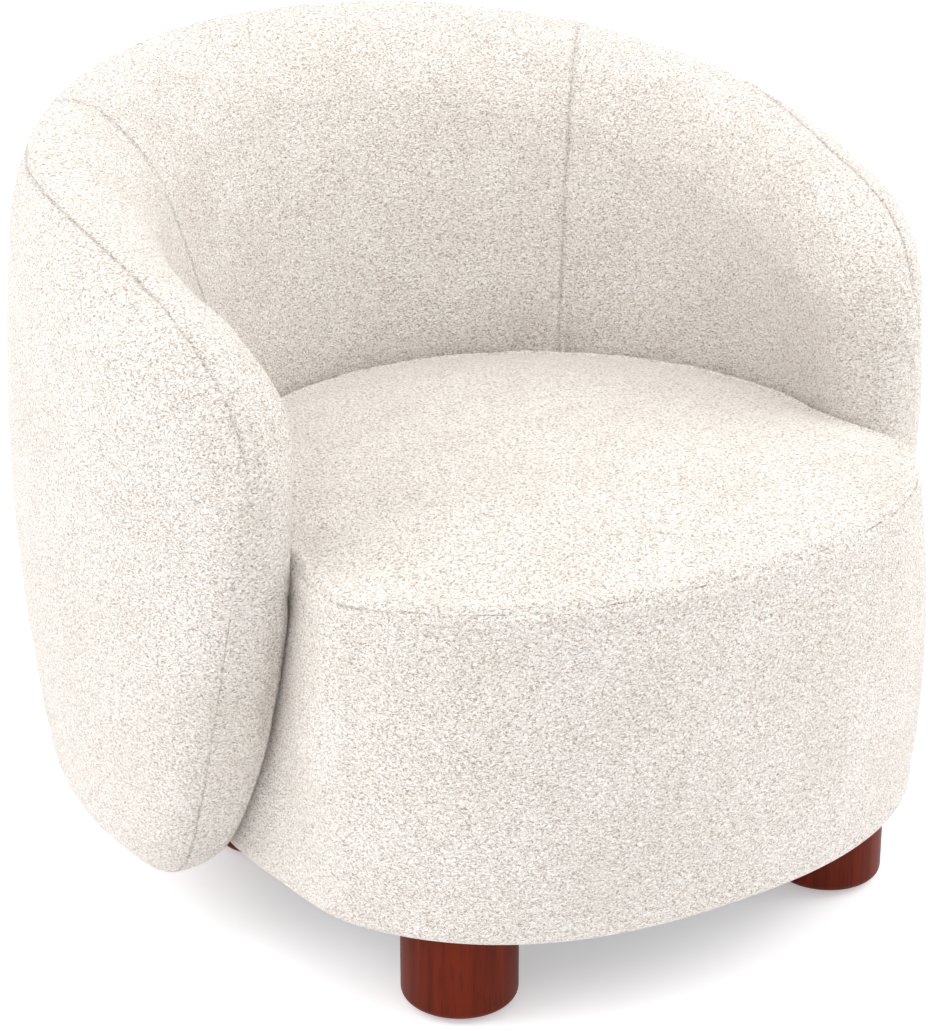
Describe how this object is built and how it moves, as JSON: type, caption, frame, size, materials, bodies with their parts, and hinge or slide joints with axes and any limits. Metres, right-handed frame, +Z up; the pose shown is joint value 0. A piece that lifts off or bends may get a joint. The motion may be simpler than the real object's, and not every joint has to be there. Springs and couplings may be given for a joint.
{
  "type": "upholstered armchair",
  "caption": "Barrel armchair: one padded shell forms back and arms round a sprung drum seat on thick round wooden legs.",
  "frame": {"origin": "on the floor, under the middle of the chair's box", "axes": "+Z up, -Y towards the front of the seat, +X towards the sitter's left when seated"},
  "size_m": [0.8376, 0.8206, 0.6969],
  "materials": {
    "cloth": "flecked boucle",
    "foam": "upholstery foam",
    "wadding": "polyester wadding",
    "timber": "raw",
    "board": "tack board",
    "stain": "red-brown stain, satin lacquer",
    "steel": "zinc plated",
    "nylon": "dark nylon",
    "dust": "black dust cloth"
  },
  "bodies": {
    "root": {"base_board": "timber", "crest_rail": "timber", "dust_cover": "dust", "foot_rail": "timber", "glide_front_left": "nylon", "glide_front_right": "nylon", "glide_rear_left": "nylon", "glide_rear_right": "nylon", "hanger_bolt_front_left": "steel", "hanger_bolt_front_right": "steel", "hanger_bolt_rear_left": "steel", "hanger_bolt_rear_right": "steel", "inner_cover_back": "cloth", "inner_cover_left_arm": "cloth", "inner_cover_right_arm": "cloth", "inner_panel": "board", "joint_bolt_1": "steel", "joint_bolt_2": "steel", "joint_bolt_3": "steel", "joint_bolt_4": "steel", "leg_front_left": "stain", "leg_front_right": "stain", "leg_nut_front_left": "steel", "leg_nut_front_right": "steel", "leg_nut_rear_left": "steel", "leg_nut_rear_right": "steel", "leg_rear_left": "stain", "leg_rear_right": "stain", "outer_cover": "cloth", "outer_panel": "board", "outer_wadding": "wadding", "seat_band_cover": "cloth", "seat_band_foam": "foam", "seat_foam": "foam", "seat_post_front_left": "timber", "seat_post_front_right": "timber", "seat_post_rear_left": "timber", "seat_post_rear_right": "timber", "seat_rail": "timber", "seat_spring_1": "steel", "seat_spring_2": "steel", "seat_spring_3": "steel", "seat_spring_4": "steel", "seat_top_cover": "cloth", "shell_foam": "foam", "shell_post_1": "timber", "shell_post_2": "timber", "shell_post_3": "timber", "shell_post_4": "timber", "shell_post_5": "timber", "shell_post_6": "timber", "spring_clip_front_1": "steel", "spring_clip_front_2": "steel", "spring_clip_front_3": "steel", "spring_clip_front_4": "steel", "spring_clip_rear_1": "steel", "spring_clip_rear_2": "steel", "spring_clip_rear_3": "steel", "spring_clip_rear_4": "steel", "spring_felt": "wadding"}
  },
  "joints": []
}
